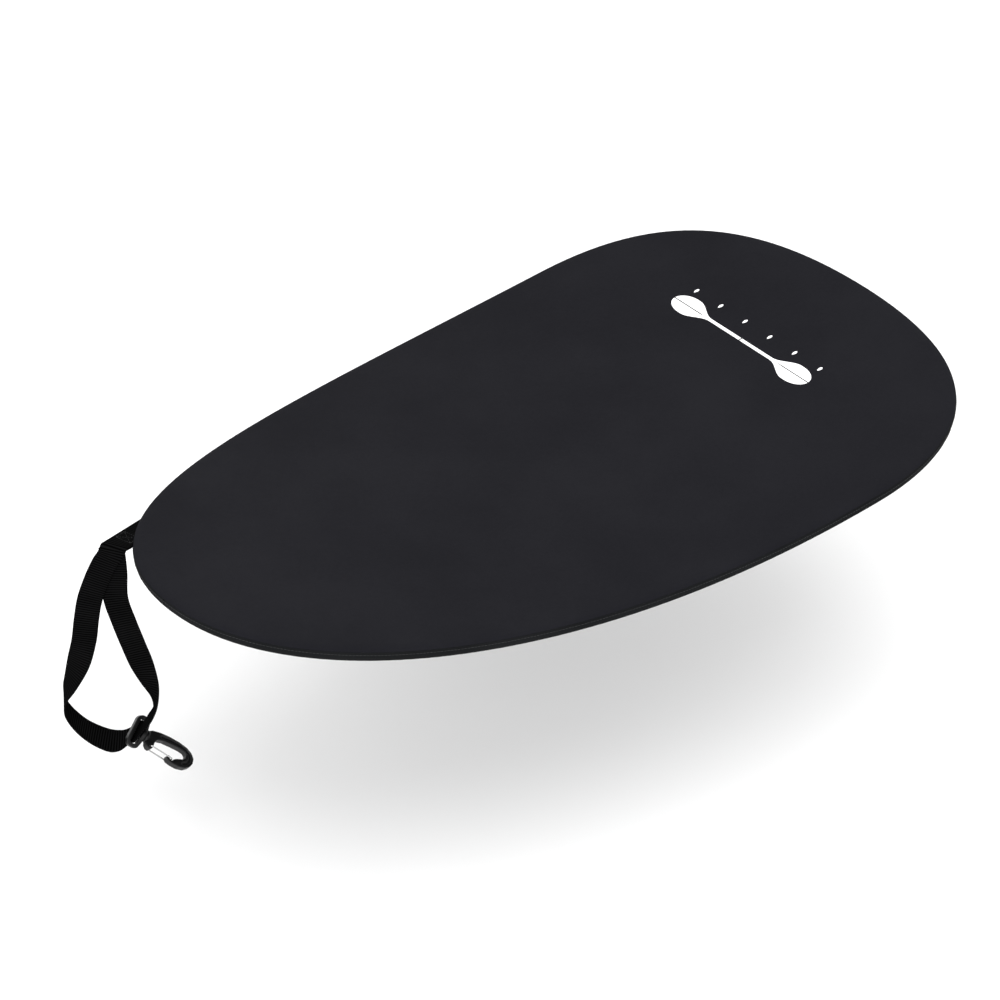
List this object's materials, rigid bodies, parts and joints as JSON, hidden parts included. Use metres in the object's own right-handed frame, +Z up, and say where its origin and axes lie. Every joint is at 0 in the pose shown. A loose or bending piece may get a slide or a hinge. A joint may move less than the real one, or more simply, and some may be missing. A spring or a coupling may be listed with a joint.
{
  "type": "kayak cockpit cover",
  "caption": "Egg-shaped taut fabric cover for a kayak cockpit, with an elastic hem under the rim and a webbing tether loop that carries a swivel snap hook.",
  "frame": {"origin": "middle of the cockpit rim's seat, on the panel's underside where the rim is lowest", "axes": "+X from the tether's narrow end to the wide end, +Y to port, +Z up out of the cockpit"},
  "size_m": [0.9489, 0.5446, 0.2807],
  "materials": {
    "panel_fabric": "matte laminated sheet",
    "skirt_fabric": "matte woven nylon",
    "casing_fabric": "matte woven nylon",
    "elastic_cord": "braided elastic cord",
    "crimp_metal": "satin",
    "patch_fabric": "matte woven nylon",
    "tether_webbing": "ribbed polypropylene webbing",
    "eye_plastic": "moulded acetal",
    "hook_plastic": "moulded acetal",
    "gate_wire": "bright stainless wire"
  },
  "bodies": {
    "cover": {"top_panel": "panel_fabric", "skirt_port": "skirt_fabric", "skirt_starboard": "skirt_fabric", "hem_casing_port": "casing_fabric", "hem_casing_starboard": "casing_fabric", "shock_cord": "elastic_cord", "cord_crimp": "crimp_metal", "anchor_patch": "patch_fabric", "tether_lead": "tether_webbing"},
    "tether": {"tether_loop": "tether_webbing"},
    "eye": {"swivel_eye": "eye_plastic"},
    "hook": {"hook_body": "hook_plastic"},
    "gate": {"wire_gate": "gate_wire"}
  },
  "joints": [
    {"name": "tether_swing", "type": "hinge", "parent": "cover", "child": "tether", "pos_m": [-0.44061, 0.10518, 0.03553], "axis": [0.7793, -0.6266, 0], "range_deg": [-70, 35]},
    {"name": "eye_swing", "type": "hinge", "parent": "tether", "child": "eye", "pos_m": [-0.43266, 0.09879, -0.19357], "axis": [-0.7745, -0.291, -0.5617], "range_deg": [-18, 18]},
    {"name": "hook_spin", "type": "hinge", "parent": "eye", "child": "hook", "pos_m": [-0.42562, 0.09313, -0.20035], "axis": [0.6235, -0.5013, -0.6], "continuous": true},
    {"name": "gate_pivot", "type": "hinge", "parent": "hook", "child": "gate", "pos_m": [-0.42908, 0.08466, -0.20687], "axis": [-0.191, 0.6465, -0.7386], "range_deg": [-24, 0], "stiffness_Nm_per_rad": 0.03, "springref_deg": 14.32}
  ]
}
